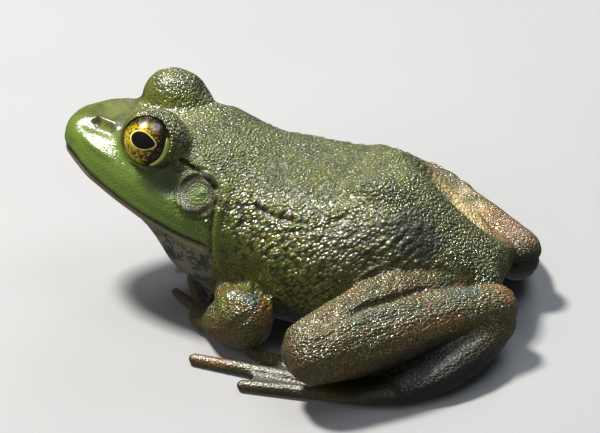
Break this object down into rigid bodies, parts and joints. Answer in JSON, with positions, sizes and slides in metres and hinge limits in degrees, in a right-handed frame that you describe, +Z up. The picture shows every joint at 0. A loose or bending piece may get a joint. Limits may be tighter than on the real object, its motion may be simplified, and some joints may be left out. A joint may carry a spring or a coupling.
{
  "type": "bullfrog",
  "caption": "Life-size bullfrog crouched at rest with raised head, bulging eyes, round eardrums, folded hind legs and webbed feet.",
  "frame": {"origin": "on the floor, under the middle of the animal's bounding box", "axes": "+Z up; the frog faces -Y; +X is the frog's left side"},
  "size_m": [0.1287, 0.1446, 0.0639],
  "materials": {
    "skin_face": "wet",
    "skin_throat": "wet",
    "skin_back": "wet and granular",
    "skin_ear": "moist",
    "skin_leg": "wet",
    "eye": "gloss"
  },
  "bodies": {
    "root": {"head": "skin_face", "lower_jaw": "skin_throat", "trunk": "skin_back", "eye_left": "eye", "eye_right": "eye", "ear_left": "skin_ear", "ear_right": "skin_ear", "upper_arm_left": "skin_leg", "upper_arm_right": "skin_leg", "forearm_left": "skin_leg", "forearm_right": "skin_leg", "hand_left": "skin_leg", "hand_right": "skin_leg", "thigh_left": "skin_leg", "thigh_right": "skin_leg", "shank_left": "skin_leg", "shank_right": "skin_leg", "tarsus_left": "skin_leg", "tarsus_right": "skin_leg", "foot_left": "skin_leg", "foot_right": "skin_leg"}
  },
  "joints": []
}
